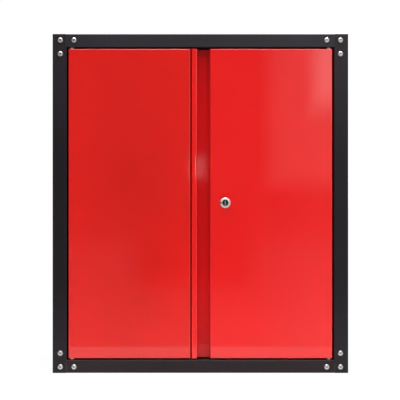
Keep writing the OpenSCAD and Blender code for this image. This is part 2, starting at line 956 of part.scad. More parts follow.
module catch_poles() {
    tip = stop_y - buffer_h + buffer_gap;
    rear = stop_y + sheet + core_d;
    translate([catch_x, 0, catch_z]) {
        both_ends() span(
            [-pole_w / 2, tip, magnet_t / 2],
            [pole_w / 2, rear, magnet_t / 2 + pole_t]
        );
        span(
            [-pole_w / 2 + pole_t, stop_y + sheet, -magnet_t / 2],
            [pole_w / 2 - pole_t, rear, magnet_t / 2]
        );
    }
}

module left_door_catch() {
    color("#232325") mirror([1, 0, 0]) door_catch();
}

module right_door_catch() {
    color("#232325") door_catch();
}

module left_catch_poles() {
    color("#b9bcc0") mirror([1, 0, 0]) catch_poles();
}

module right_catch_poles() {
    color("#b9bcc0") catch_poles();
}

module catch_screws() {
    head_h = buffer_h / 2;
    color("#b9bcc0") both_sides() translate([catch_x, 0, catch_z]) at_catch_screws() difference() {
        union() {
            cylinder(d1 = catch_head_d, d2 = catch_head_d * 2 / 3, h = head_h);
            translate([0, 0, -catch_d / 2]) cylinder(d = catch_screw_d, h = catch_d / 2);
        }
        translate([0, 0, head_h])
            cube([catch_head_d, catch_screw_d / 5, head_h], center = true);
    }
}

// Doors, drawn for the right-hand side

module door_skin() {
    difference() {
        pan(
            [door_in, door_front, door_bottom],
            [door_out, door_back, door_top],
            door_sheet, door_return, door_bend_r
        );
        bush_holes();
    }
}

module bush_holes() {
    hole_d = bush_d + 2 * fit_play;
    depth = door_sheet + bracket_t + 2 * cut;
    translate([pivot_x, pivot_y, door_top + cut - depth]) cylinder(d = hole_d, h = depth);
    translate([pivot_x, pivot_y, door_bottom - cut]) cylinder(d = hole_d, h = depth);
}

module door_stiffener() {
    middle = (door_in + door_out) / 2;
    low = door_front + door_sheet * 3 / 2;
    high = low + stiffener_d - door_sheet;
    half_top = (stiffener_top - door_sheet) / 2;
    translate([middle, 0, door_bottom + stiffener_end])
        linear_extrude(door_top - door_bottom - 2 * stiffener_end) bent_strip([
            [-stiffener_w / 2, low], [-half_top, low], [-half_top, high],
            [half_top, high], [half_top, low], [stiffener_w / 2, low],
        ], door_sheet, door_bend_r);
}

// angle in the pan's outer corner, up is the end of the door it sits in
module door_bracket(end_z, up) {
    side = door_out - door_sheet;
    front = door_front + door_sheet + door_bend_r + fit_play;
    back = door_back - door_sheet - door_bend_r - fit_play;
    inner_z = end_z - up * door_sheet;
    leg_z = inner_z - up * bracket_l;
    plate_z = inner_z - up * bracket_t;
    difference() {
        union() {
            span([side - bracket_l, front, min(inner_z, plate_z)], [side, back, max(inner_z, plate_z)]);
            span([side - bracket_t, front, min(inner_z, leg_z)], [side, back, max(inner_z, leg_z)]);
        }
        bush_holes();
    }
}

// flanged bush whose cone fills the gap to the rail
module door_bush(gap) {
    body_l = door_sheet + bracket_t + bush_tail;
    cone_h = gap - collar_gap;
    difference() {
        union() {
            translate([0, 0, -body_l]) cylinder(d = bush_d, h = body_l);
            cylinder(d = collar_d, h = cone_h / 4);
            translate([0, 0, cone_h / 4]) cylinder(d1 = collar_d, d2 = collar_tip_d, h = cone_h * 3 / 4);
        }
        translate([0, 0, -body_l - cut])
            cylinder(d = pin_d + 2 * pin_clear, h = body_l + cone_h + 2 * cut);
    }
}

module upper_bush() {
    translate([pivot_x, pivot_y, door_top]) door_bush(top_gap);
}

module lower_bush() {
    translate([pivot_x, pivot_y, door_bottom]) mirror([0, 0, 1]) door_bush(bottom_gap);
}

module left_door_skin() {
    color("#d9261f") mirror([1, 0, 0]) door_skin();
}

module left_door_stiffener() {
    color("#d9261f") mirror([1, 0, 0]) door_stiffener();
}

module left_door_upper_bracket() {
    color("#d9261f") mirror([1, 0, 0]) door_bracket(door_top, 1);
}

module left_door_lower_bracket() {
    color("#d9261f") mirror([1, 0, 0]) door_bracket(door_bottom, -1);
}

module left_door_upper_bush() {
    color("#e9e6df") mirror([1, 0, 0]) upper_bush();
}

module left_door_lower_bush() {
    color("#e9e6df") mirror([1, 0, 0]) lower_bush();
}

module right_door_skin() {
    color("#d9261f") difference() {
        door_skin();
        facing_front(lock_x, door_front + door_sheet + cut, lock_z)
            lock_body(door_sheet + 2 * cut, hole_play);
    }
}

module right_door_stiffener() {
    color("#d9261f") door_stiffener();
}

module right_door_upper_bracket() {
    color("#d9261f") door_bracket(door_top, 1);
}

module right_door_lower_bracket() {
    color("#d9261f") door_bracket(door_bottom, -1);
}

module right_door_upper_bush() {
    color("#e9e6df") upper_bush();
}

module right_door_lower_bush() {
    color("#e9e6df") lower_bush();
}

// J channel along the right door's free edge, open at both ends
module grip_channel() {
    half = door_sheet / 2;
    path = [
        [grip_edge - half, door_front + grip_hem],
        [grip_edge - half, door_front + half],
        [grip_left + half, door_front + half],
        [grip_left + half, door_back - half],
        [door_in - half, door_back - half],
        [door_in - half, door_front + grip_wall_front],
    ];
    color("#d9261f") difference() {
        translate([0, 0, door_bottom]) linear_extrude(door_top - door_bottom)
            bent_strip(path, door_sheet, door_bend_r);
        grip_corner(door_top, -1);
        grip_corner(door_bottom, 1);
    }
}

// what rounding takes off a corner of the lip, into is the way to the door's middle
module grip_corner(end_z, into) {
    r = grip_corner_r;
    centre = [grip_edge - r, end_z + into * r];
    along_y(door_front - cut, door_front + grip_hem + cut) difference() {
        translate([grip_edge - r, into > 0 ? end_z - cut : end_z - r]) square([r + cut, r + cut]);
        translate(centre) circle(r = r);
    }
}

// Cam lock on the right door, local z runs to the front from the door face

// round body with two flats
module lock_body(length, play) {
    intersection() {
        cylinder(d = lock_body_d + 2 * play, h = length);
        translate([-lock_body_d, -lock_flat / 2 - play, 0])
            cube([2 * lock_body_d, lock_flat + 2 * play, length]);
    }
}

module lock_housing() {
    rim = ring_h / 4;
    crown_r = plug_face_d / 2 + 1;
    ring = concat(
        [[0, 0], [ring_d / 2, 0]],
        [
            for (a = [0 : 15 : 90])
                [crown_r + (ring_d / 2 - crown_r) * cos(a), rim + (ring_h - rim) * sin(a)]
        ],
        [[0, ring_h]]
    );
    notch_w = 3.4;
    notch_l = 3.2;
    notch_floor = ring_h / 5;
    color("#d8dadd") facing_front(lock_x, door_front, lock_z) difference() {
        union() {
            rotate_extrude() polygon(ring);
            translate([0, 0, -lock_l]) lock_body(lock_l, 0);
        }
        translate([0, 0, -lock_l - cut]) cylinder(d = plug_d + 2 * plug_clear, h = lock_l + ring_h + 2 * cut);
        translate([0, 0, plug_seat]) cylinder(d = plug_face_d + 2 * plug_clear, h = ring_h + cut);
        // index notch in the ring
        translate([-ring_d / 2 - cut, -notch_w / 2, notch_floor]) cube([notch_l + cut, notch_w, ring_h]);
    }
}

module lock_nut() {
    color("#b9bcc0") facing_front(lock_x, door_front + door_sheet + lock_nut_h, lock_z)
        hex_nut(lock_nut_af, lock_body_d, lock_nut_h);
}

module lock_plug() {
    tail_l = lock_l + hole_play + cam_t - fit_play;
    color("#8b8d91") facing_front(lock_x, door_front, lock_z) difference() {
        union() {
            translate([0, 0, plug_seat + hole_play])
                cylinder(d = plug_face_d, h = ring_h - plug_sink - plug_seat - hole_play);
            translate([0, 0, -lock_l]) cylinder(d = plug_d, h = lock_l + plug_seat + 2 * hole_play);
            translate([-tail_af / 2, -tail_af / 2, -tail_l]) cube([tail_af, tail_af, tail_l]);
            translate([0, 0, -tail_l - stud_l]) cylinder(d = stud_d, h = tail_l);
        }
        translate([-key_w / 2, -key_h / 2, ring_h - key_depth]) cube([key_w, key_h, key_depth]);
    }
}

module lock_cam() {
    tip = cam_l - cam_w / 2;
    hole = tail_af + 2 * fit_play;
    color("#c9cbce") facing_front(lock_x, cam_front + cam_t, lock_z) linear_extrude(cam_t) difference() {
        union() {
            circle(d = cam_hub_d);
            translate([0, -cam_w / 2]) square([tip, cam_w]);
            translate([tip, 0]) circle(d = cam_w);
        }
        translate([-hole / 2, -hole / 2]) square(hole);
    }
}

module cam_nut() {
    washer_t = 1;
    nut_af = 8;
    nut_h = 4;
    color("#b9bcc0") facing_front(lock_x, cam_front + cam_t, lock_z) difference() {
        union() {
            translate([0, 0, -washer_t]) cylinder(d = tail_af * 2, h = washer_t);
            translate([0, 0, -washer_t - nut_h]) cylinder(d = nut_af / cos(30), h = nut_h, $fn = 6);
        }
        translate([0, 0, -washer_t - nut_h - cut])
            cylinder(d = stud_d + 2 * fit_play, h = washer_t + nut_h + 2 * cut);
    }
}

left_side_panel();
right_side_panel();
top_panel();
bottom_panel();
back_panel();
upper_left_corner_plate();
upper_right_corner_plate();
lower_left_corner_plate();
lower_right_corner_plate();
frame_screws();
frame_nuts();
back_panel_screws();
back_panel_nuts();
upper_wall_bar();
lower_wall_bar();
front_left_shelf_post();
rear_left_shelf_post();
front_right_shelf_post();
rear_right_shelf_post();
shelf();
shelf_clips();
lock_keeper();
keeper_rivets();
upper_left_pivot_plate();
upper_right_pivot_plate();
lower_left_pivot_plate();
lower_right_pivot_plate();
upper_left_pivot_pin();
upper_right_pivot_pin();
lower_left_pivot_pin();
lower_right_pivot_pin();
door_buffers();
left_door_catch();
right_door_catch();
left_catch_poles();
right_catch_poles();
catch_screws();
left_door_skin();
left_door_stiffener();
left_door_upper_bracket();
left_door_lower_bracket();
left_door_upper_bush();
left_door_lower_bush();
right_door_skin();
right_door_stiffener();
right_door_upper_bracket();
right_door_lower_bracket();
right_door_upper_bush();
right_door_lower_bush();
grip_channel();
lock_housing();
lock_nut();
lock_plug();
lock_cam();
cam_nut();
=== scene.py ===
import math

import bmesh
import bpy
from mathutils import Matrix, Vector


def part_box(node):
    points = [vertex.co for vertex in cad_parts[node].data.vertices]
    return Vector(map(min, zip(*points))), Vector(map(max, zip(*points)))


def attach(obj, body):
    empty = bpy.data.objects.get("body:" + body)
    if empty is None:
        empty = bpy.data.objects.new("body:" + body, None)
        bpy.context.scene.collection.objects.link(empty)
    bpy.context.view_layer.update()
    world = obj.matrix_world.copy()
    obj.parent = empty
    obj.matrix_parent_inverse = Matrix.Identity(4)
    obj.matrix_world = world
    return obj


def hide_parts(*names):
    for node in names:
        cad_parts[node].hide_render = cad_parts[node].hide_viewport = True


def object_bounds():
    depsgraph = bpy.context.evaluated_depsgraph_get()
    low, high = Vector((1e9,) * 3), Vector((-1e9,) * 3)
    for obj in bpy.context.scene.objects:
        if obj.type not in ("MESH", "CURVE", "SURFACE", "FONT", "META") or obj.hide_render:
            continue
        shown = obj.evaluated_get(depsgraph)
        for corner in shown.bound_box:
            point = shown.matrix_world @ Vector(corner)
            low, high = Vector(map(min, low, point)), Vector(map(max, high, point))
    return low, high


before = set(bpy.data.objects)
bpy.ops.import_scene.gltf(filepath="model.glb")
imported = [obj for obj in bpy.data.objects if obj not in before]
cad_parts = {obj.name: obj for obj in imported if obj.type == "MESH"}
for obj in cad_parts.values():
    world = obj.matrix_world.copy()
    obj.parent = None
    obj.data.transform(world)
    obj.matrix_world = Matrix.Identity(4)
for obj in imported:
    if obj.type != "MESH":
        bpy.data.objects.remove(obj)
cad_low, cad_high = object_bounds()


# Side panels
# Each is one sheet of 1 mm steel: side wall, front upright, door rebate and stop flange in one fold.
# It is powder coated satin black with a fine leathery grain after folding.
# On the front of the uprights the black is lighter towards the ends: this is painted light, and the
# darker middle is painted shade.

# Most values of a noise texture lie in this span.
noise_span = (0.3, 0.7)


def finish_node(tree, kind, inputs, **settings):
    node = tree.nodes.new("ShaderNode" + kind)
    for setting, value in settings.items():
        setattr(node, setting, value)
    for socket, value in inputs.items():
        if isinstance(value, bpy.types.NodeSocket):
            tree.links.new(value, node.inputs[socket])
        else:
            node.inputs[socket].default_value = value
    return node.outputs


def add_noise(tree, place, scale, detail):
    return finish_node(tree, "TexNoise", {"Vector": place, "Scale": scale, "Detail": detail})["Fac"]


def add_tones(tree, noise, dark, light):
    ramp = tree.nodes.new("ShaderNodeValToRGB")
    for stop, position, tone in zip(ramp.color_ramp.elements, noise_span, (dark, light)):
        stop.position = position
        stop.color = (*tone, 1)
    tree.links.new(noise, ramp.inputs["Fac"])
    return ramp.outputs["Color"]


def spread_over(tree, value, start, stop, low, high, curve="SMOOTHSTEP"):
    ends = {"From Min": start, "From Max": stop, "To Min": low, "To Max": high}
    return finish_node(tree, "MapRange", {"Value": value, **ends}, interpolation_type=curve)["Result"]


def add_bump(tree, noise, strength, depth, below=None):
    inputs = {"Height": noise, "Strength": strength, "Distance": depth}
    if below is not None:
        inputs["Normal"] = below
    return finish_node(tree, "Bump", inputs)["Normal"]


def blend_tones(tree, kind, share, first, second):
    inputs = {"Factor": share, "A": first, "B": second}
    return finish_node(tree, "Mix", inputs, data_type="RGBA", blend_type=kind)["Result"]


def new_material(name):
    material = bpy.data.materials.new(name)
    material.use_nodes = True
    return material


def mottled_finish(name, dark, light, rough, cloud, detail=2, metal=0, gloss=0.5,
                   grain=None, relief=None, waves=None, sheen_by_grain=False):
    finish = new_material(name)
    tree = finish.node_tree
    surface = tree.nodes["Principled BSDF"].inputs
    surface["Metallic"].default_value = metal
    surface["Specular IOR Level"].default_value = gloss
    place = finish_node(tree, "TexCoord", {})["Object"]
    patches = add_noise(tree, place, cloud, detail)
    tree.links.new(add_tones(tree, patches, dark, light), surface["Base Color"])
    sheen = patches
    below = None
    if waves is not None:
        below = add_bump(tree, patches, *waves)
    if grain is not None:
        grains = add_noise(tree, place, grain, detail=2)
        tree.links.new(add_bump(tree, grains, *relief, below), surface["Normal"])
        if sheen_by_grain:
            sheen = grains
    tree.links.new(spread_over(tree, sheen, *noise_span, *rough, "LINEAR"), surface["Roughness"])
    return finish


def black_satin_coat(name, dark, light):
    return mottled_finish(
        name, dark, light, rough=(0.40, 0.54), cloud=7, gloss=0.3,
        grain=900, relief=(0.22, 0.0003), sheen_by_grain=True,
    )


# Paints shade into a coat's colour: darkest by depth near the middle, fading out at the reach.
def paint_middle_shade(coat, middle, reach, start, depth):
    tree = coat.node_tree
    place = tree.nodes["Texture Coordinate"].outputs["Object"]
    inputs = {"Vector": place, "Location": middle, "Scale": reach}
    from_middle = finish_node(tree, "Mapping", inputs, vector_type="TEXTURE")["Vector"]
    off_middle = finish_node(tree, "VectorMath", {0: from_middle}, operation="LENGTH")["Value"]
    share = spread_over(tree, off_middle, start, stop=1, low=1 - depth, high=1)
    base_colour = tree.nodes["Principled BSDF"].inputs["Base Color"]
    tones = base_colour.links[0].from_socket
    tree.links.new(blend_tones(tree, "MULTIPLY", 1, tones, share), base_colour)


def dress(name, material, edge):
    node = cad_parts[name]
    node.data.materials.clear()
    node.data.materials.append(material)
    weld = node.modifiers.new("join_faces", "WELD")
    weld.merge_threshold = 0.000005
    flat = node.modifiers.new("clear_flats", "DECIMATE")
    flat.decimate_type = "DISSOLVE"
    flat.angle_limit = math.radians(0.6)
    flat.delimit = {"MATERIAL"}
    round_off = node.modifiers.new("soft_edges", "BEVEL")
    round_off.width = edge
    round_off.segments = 2
    round_off.limit_method = "ANGLE"
    round_off.angle_limit = math.radians(35)
    round_off.use_clamp_overlap = True
    shade = node.modifiers.new("even_shading", "WEIGHTED_NORMAL")
    shade.keep_sharp = False


def coat_inside(name, fold_depth, inside_coat):
    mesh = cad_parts[name].data
    mesh.materials.append(inside_coat)
    front_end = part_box(name)[0].y + fold_depth
    for face in mesh.polygons:
        if face.center.y > front_end:
            face.material_index = 1


sheet_edge = 0.0002
fold_depth = 0.0017
black_coat = black_satin_coat(
    "black_satin_coat", dark=(0.0068, 0.0046, 0.0074), light=(0.0086, 0.0062, 0.0094),
)
# The uprights' fronts take a lighter black than the side walls as painted light.
upright_light_shade_coat = black_satin_coat(
    "black_upright_light_shade_coat", dark=(0.0151, 0.0099, 0.0147), light=(0.0185, 0.0121, 0.0179),
)
# The reach across and in depth is so long that only the height counts.
any_reach = 100
upright_middle = (0, 0, -0.03)
upright_reach = (any_reach, any_reach, 0.40)
# Painted shade darkens the uprights' fronts towards the middle of their height.
paint_middle_shade(upright_light_shade_coat, upright_middle, upright_reach, start=0.25, depth=0.58)
for side in ("left_side_panel", "right_side_panel"):
    dress(side, upright_light_shade_coat, sheet_edge)
    coat_inside(side, fold_depth, black_coat)


# Top and bottom panels
# Roof or floor, front rail, rebate and stop flange of 1 mm steel, folded like the side panels.
# The rails butt against the uprights. Their lighter black is painted light: bluer on the upper one
# from the cool light above, warmer on the lower one from light thrown up by the floor.
# Behind the rails, both panels keep the black of the side walls.

# Painted light: the rails' fronts are lighter than the side walls, the upper one cooler and the lower
# one warmer.
painted_light_rail_coats = {
    "top_panel": ("black_upper_rail_cool_light_coat", (0.0180, 0.0158, 0.0207), (0.0220, 0.0192, 0.0249)),
    "bottom_panel": ("black_lower_rail_warm_light_coat", (0.0145, 0.0070, 0.0084), (0.0185, 0.0105, 0.0126)),
}
for panel, (coat_name, dark, light) in painted_light_rail_coats.items():
    dress(panel, black_satin_coat(coat_name, dark, light), sheet_edge)
    coat_inside(panel, fold_depth, black_coat)


# Corner plates, frame screws and nuts
# A zinc plated L plate of 2.5 mm steel ties rail to upright behind each corner of the frame.
# Three button-head screws at each corner go through frame and plate into nuts.
# Their hexagon sockets take a darker zinc, which is painted shade.

def bright_zinc(name, dark, light):
    return mottled_finish(
        name, dark, light, rough=(0.30, 0.42), cloud=420, metal=1,
        grain=2600, relief=(0.10, 0.0001),
    )


zinc = mottled_finish(
    "zinc_plate", dark=(0.50, 0.51, 0.53), light=(0.64, 0.64, 0.65),
    rough=(0.28, 0.42), cloud=160, detail=3, metal=1, grain=2200, relief=(0.15, 0.0001),
)
screw_metal = bright_zinc("bright_zinc", dark=(0.64, 0.63, 0.62), light=(0.74, 0.73, 0.72))
socket_shade_metal = bright_zinc("socket_shade_zinc", dark=(0.34, 0.33, 0.33), light=(0.44, 0.43, 0.43))
small_edge = 0.00015
corners = ("upper_left", "upper_right", "lower_left", "lower_right")
for corner in corners:
    dress(corner + "_corner_plate", zinc, small_edge)
dress("frame_nuts", zinc, small_edge)
dress("frame_screws", screw_metal, small_edge)
screw_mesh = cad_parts["frame_screws"].data
screw_mesh.materials.append(socket_shade_metal)
head_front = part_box("frame_screws")[0].y
# A socket's walls run straight back from the crown, and its floor lies square to them.
rim_rise = 0.0024
crown_drop = 0.0020
wall_slope = 0.05
floor_slope = 0.95
# The socket faces get the darker zinc as painted shade.
for face in screw_mesh.polygons:
    socket_wall = abs(face.normal.y) < wall_slope and face.center.y < head_front + rim_rise
    socket_floor = face.normal.y < -floor_slope and face.center.y > head_front + crown_drop
    if socket_wall or socket_floor:
        face.material_index = 1


# Back panel, its screws and nuts, and the wall bars
# A flat sheet of 1 mm steel closes the back, held by countersunk screws and nuts round its edge.
# Two flat bars inside it spread the load of the four wall bolts.
# Sheet and bars take a slightly lighter black, which posts and shelf share; the lift is painted light
# on the shaded inside, as the real coat is the black of the side walls.

# Painted light: this black is lighter than the side walls' to lift the shaded inside.
lit_inner_coat = black_satin_coat(
    "black_lit_inner_coat", dark=(0.0145, 0.0125, 0.0146), light=(0.0185, 0.0160, 0.0188),
)
for flat_piece in ("back_panel", "upper_wall_bar", "lower_wall_bar"):
    dress(flat_piece, lit_inner_coat, sheet_edge)
for fastener in ("back_panel_screws", "back_panel_nuts"):
    dress(fastener, zinc, small_edge)


# Welds of the wall bars
# Short rippled beads join the upper and lower edge of each bar to the back panel.
# They were laid before coating and are black like the bars.

def join_rings(shape, rings, capped=True):
    for near, far in zip(rings, rings[1:]):
        for number in range(len(near)):
            after = (number + 1) % len(near)
            shape.faces.new((near[number], near[after], far[after], far[number]))
    if capped:
        shape.faces.new(rings[0])
        shape.faces.new(rings[-1])


def add_bead(shape, start, run, walls, length, size):
    first_wall, second_wall = walls
    steps = 36
    arc_points = 5
    ripple_l = 0.0035
    ripple_depth = 0.1
    end_size = 0.35
    end_slope = 5
    sink = 0.00005
    rings = []
    for step in range(steps + 1):
        along = length * step / steps
        taper = min(1, end_size + end_slope * min(along, length - along) / length)
        radius = size * taper * (1 + ripple_depth * math.sin(2 * math.pi * along / ripple_l))
        corner = start + run * along - (first_wall + second_wall) * sink
        ring = [shape.verts.new(corner)]
        for number in range(arc_points):
            angle = math.radians(90 * number / (arc_points - 1))
            arm = first_wall * math.cos(angle) + second_wall * math.sin(angle)
            ring.append(shape.verts.new(corner + arm * radius))
        rings.append(ring)
    join_rings(shape, rings)


def spaced(first, last, count):
    return [first + number * (last - first) / (count - 1) for number in range(count)]


def finish_piece(name, shape, material, body):
    bmesh.ops.recalc_face_normals(shape, faces=shape.faces)
    mesh = bpy.data.meshes.new(name)
    shape.to_mesh(mesh)
    shape.free()
    mesh.shade_smooth()
    mesh.set_sharp_from_angle(angle=math.radians(40))
    mesh.materials.append(material)
    piece = bpy.data.objects.new(name, mesh)
    bpy.context.scene.collection.objects.link(piece)
    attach(piece, body)
    return piece


beads_in_row = 5
bar_bead_l = 0.026
bar_bead_size = 0.0022
bar_bead_margin = 0.020
bar_beads = bmesh.new()
for bar in ("upper_wall_bar", "lower_wall_bar"):
    bar_low, bar_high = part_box(bar)
    first_x = bar_low.x + bar_bead_margin
    last_x = bar_high.x - bar_bead_margin - bar_bead_l
    for bead_x in spaced(first_x, last_x, beads_in_row):
        for edge_z, up in ((bar_low.z, -1), (bar_high.z, 1)):
            bead_start = Vector((bead_x, bar_high.y, edge_z))
            bead_run = Vector((1, 0, 0))
            bead_walls = (Vector((0, 0, up)), Vector((0, -1, 0)))
            add_bead(bar_beads, bead_start, bead_run, bead_walls, bar_bead_l, bar_bead_size)
finish_piece("wall_bar_welds", bar_beads, lit_inner_coat, "cabinet")


# Shelf posts, clips, shelf and lock keeper
# Slotted steel posts are stitch welded to the side walls, and zinc plated clips hook into them.
# The clips carry the shelf, a folded tray of 1 mm steel.
# A riveted plate behind the shelf's lip takes the lock's cam.

post_bead_l = 0.020
post_bead_size = 0.0018
post_bead_margin = 0.030
post_beads = bmesh.new()
for row in ("front", "rear"):
    for side, inward in (("left", 1), ("right", -1)):
        post = row + "_" + side + "_shelf_post"
        dress(post, lit_inner_coat, sheet_edge)
        post_low, post_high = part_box(post)
        wall_x = post_low.x if side == "left" else post_high.x
        first_z = post_low.z + post_bead_margin
        last_z = post_high.z - post_bead_margin - post_bead_l
        for bead_z in spaced(first_z, last_z, beads_in_row):
            for edge_y, out in ((post_low.y, -1), (post_high.y, 1)):
                bead_start = Vector((wall_x, edge_y, bead_z))
                bead_run = Vector((0, 0, 1))
                bead_walls = (Vector((0, out, 0)), Vector((inward, 0, 0)))
                add_bead(post_beads, bead_start, bead_run, bead_walls, post_bead_l, post_bead_size)
finish_piece("shelf_post_welds", post_beads, lit_inner_coat, "cabinet")
dress("shelf", lit_inner_coat, sheet_edge)
for fitting in ("shelf_clips", "lock_keeper", "keeper_rivets"):
    dress(fitting, zinc, small_edge)


# Pivot plates and pins
# Each door turns on two headed steel pins, which stand in 2 mm plates on the rail returns.
# Plates and pins are zinc plated before they are fitted.

for corner in corners:
    dress(corner + "_pivot_plate", zinc, small_edge)
    dress(corner + "_pivot_pin", zinc, small_edge)


# Door buffers and magnetic catches
# Black rubber buttons on the stop flanges quiet the doors, and a moulded catch holds each one shut.
# Two steel pole plates stand out of each catch, which is screwed to the stop flange.

rubber = mottled_finish(
    "black_rubber", dark=(0.012, 0.012, 0.012), light=(0.022, 0.021, 0.020),
    rough=(0.62, 0.78), cloud=120, detail=3, grain=3000, relief=(0.2, 0.0001),
)
catch_plastic = mottled_finish(
    "catch_plastic", dark=(0.016, 0.016, 0.017), light=(0.024, 0.024, 0.025),
    rough=(0.38, 0.5), cloud=120, detail=3, grain=1800, relief=(0.2, 0.0001),
)
dress("door_buffers", rubber, small_edge)
for side in ("left", "right"):
    dress(side + "_door_catch", catch_plastic, small_edge)
    dress(side + "_catch_poles", zinc, small_edge)
dress("catch_screws", zinc, small_edge)


# Doors
# Each door is a pan of 1 mm steel, folded 20 mm deep, with a hat section welded behind its face.
# It is powder coated gloss red, with the slight orange peel and waviness of coated sheet.
# The left door's red is darker than the right one's and darkest in the middle of its face; both are
# painted shade on one and the same red.

def red_gloss_coat(name, dark, light):
    return mottled_finish(
        name, dark, light, rough=(0.03, 0.05), cloud=5, gloss=0.8,
        grain=330, relief=(0.008, 0.0004), waves=(0.05, 0.004), sheen_by_grain=True,
    )


# The left door's darker red is painted shade on the same red as the right door.
left_shaded_red = red_gloss_coat(
    "shaded_red_coat", dark=(0.70, 0.0040, 0.0008), light=(0.76, 0.0050, 0.0012),
)
right_red = red_gloss_coat(
    "red_coat", dark=(0.77, 0.0040, 0.0032), light=(0.83, 0.0050, 0.0042),
)
# Painted shade: the left door's face darkens towards its middle.
skin_low, skin_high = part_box("left_door_skin")
skin_size = skin_high - skin_low
share_of_width = 0.52
share_of_height = 0.70
skin_reach = Vector((share_of_width * skin_size.x, 1, share_of_height * skin_size.z))
paint_middle_shade(left_shaded_red, (skin_low + skin_high) / 2, skin_reach, start=0, depth=0.12)
door_coats = (("left", left_shaded_red), ("right", right_red))
for side, red_coat in door_coats:
    for piece in ("skin", "stiffener", "upper_bracket", "lower_bracket"):
        dress(side + "_door_" + piece, red_coat, sheet_edge)


# Spot welds of the doors
# The hat section is spot welded to the door face through both flanges.
# Each weld leaves a flat dish with a raised rim under the coat.

def add_spot_weld(shape, centre):
    segments = 20
    profile = (
        (0.0012, 0.00002), (0.0020, 0.00003), (0.0025, 0.00017), (0.0030, 0.00012), (0.0033, -0.00005),
    )
    rings = []
    for radius, rise in profile:
        ring = []
        for number in range(segments):
            angle = 2 * math.pi * number / segments
            arm = Vector((radius * math.cos(angle), rise, radius * math.sin(angle)))
            ring.append(shape.verts.new(centre + arm))
        rings.append(ring)
    join_rings(shape, rings)


flange_t = 0.001
flange_middle = 0.005
weld_margin = 0.022
welds_in_row = 9
for side, red_coat in door_coats:
    hat_low, hat_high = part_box(side + "_door_stiffener")
    spot_welds = bmesh.new()
    for weld_x in (hat_low.x + flange_middle, hat_high.x - flange_middle):
        for weld_z in spaced(hat_low.z + weld_margin, hat_high.z - weld_margin, welds_in_row):
            add_spot_weld(spot_welds, Vector((weld_x, hat_low.y + flange_t, weld_z)))
    finish_piece(side + "_door_spot_welds", spot_welds, red_coat, side + "_door")


# Pivot bushes
# A natural nylon bush with a cone-shaped collar sits in each door end and shows in the gap.
# It is moulded in one piece, and a little light passes through it.

nylon = mottled_finish(
    "natural_nylon", dark=(0.78, 0.74, 0.68), light=(0.86, 0.83, 0.78), rough=(0.36, 0.48), cloud=300,
)
nylon_surface = nylon.node_tree.nodes["Principled BSDF"].inputs
nylon_surface["Subsurface Weight"].default_value = 0.25
nylon_surface["Subsurface Scale"].default_value = 0.0015
for side in ("left", "right"):
    dress(side + "_door_upper_bush", nylon, small_edge)
    dress(side + "_door_lower_bush", nylon, small_edge)


# Pull channel
# One folded strip of steel on the right door's free edge: hemmed lip, undercut and channel floor.
# The powder reaches its inside thinly, so the coat there is duller than on the lip; its darker red
# there is painted shade in the recess.

# The darker red of this coat is painted shade inside the channel.
thin_shaded_red = mottled_finish(
    "thin_shaded_red_coat", dark=(0.64, 0.0028, 0.0048), light=(0.69, 0.0036, 0.0058),
    rough=(0.05, 0.08), cloud=9, gloss=0.3, grain=420, relief=(0.008, 0.0004), sheen_by_grain=True,
)
dress("grip_channel", right_red, sheet_edge)
grip_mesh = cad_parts["grip_channel"].data
grip_mesh.materials.append(thin_shaded_red)
grip_low, grip_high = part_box("grip_channel")
lip_depth = 0.0015
half_sheet = 0.0006
for face in grip_mesh.polygons:
    inside_depth = grip_low.y + lip_depth < face.center.y < grip_high.y - half_sheet
    inside_width = grip_low.x + half_sheet < face.center.x < grip_high.x - half_sheet
    if inside_depth and inside_width:
        face.material_index = 1


# Cam lock
# A die-cast housing in satin chrome, with a turned ring, is held by a nut behind the door face.
# The dark steel plug turns in it and carries a zinc plated cam on its square tail.
# A notch in the ring marks the locked place; its faces take the dark plug steel as painted shade.

# The pink cast in the chrome's tones is a painted reflection of the red door round it.
chrome = mottled_finish(
    "satin_chrome", dark=(0.75, 0.66, 0.65), light=(0.81, 0.72, 0.71),
    rough=(0.58, 0.68), cloud=500, metal=1,
)
plug_steel = mottled_finish(
    "dark_plug_steel", dark=(0.030, 0.030, 0.033), light=(0.050, 0.050, 0.054),
    rough=(0.28, 0.40), cloud=600, metal=1, grain=2500, relief=(0.15, 0.0001),
)
dress("lock_housing", chrome, small_edge)
dress("lock_plug", plug_steel, small_edge)
for fitting in ("lock_cam", "cam_nut"):
    dress(fitting, zinc, small_edge)
notch_l = 0.0032
notch_half = 0.0017
notch_floor = 0.0024
notch_play = 0.00005
lock_low, lock_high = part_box("lock_housing")
lock_z = (lock_low.z + lock_high.z) / 2
lock_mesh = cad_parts["lock_housing"].data
# The notch's faces get the dark plug steel as painted shade.
lock_mesh.materials.append(plug_steel)
for face in lock_mesh.polygons:
    in_length = face.center.x < lock_low.x + notch_l + notch_play
    in_width = abs(face.center.z - lock_z) < notch_half + notch_play
    in_depth = face.center.y < lock_low.y + notch_floor + notch_play
    if in_length and in_width and in_depth:
        face.material_index = 1


# Lock nut and thread
# The body behind the door face has a fine thread between its two flats.
# A hexagon nut, chamfered on both faces, draws the ring against the door.

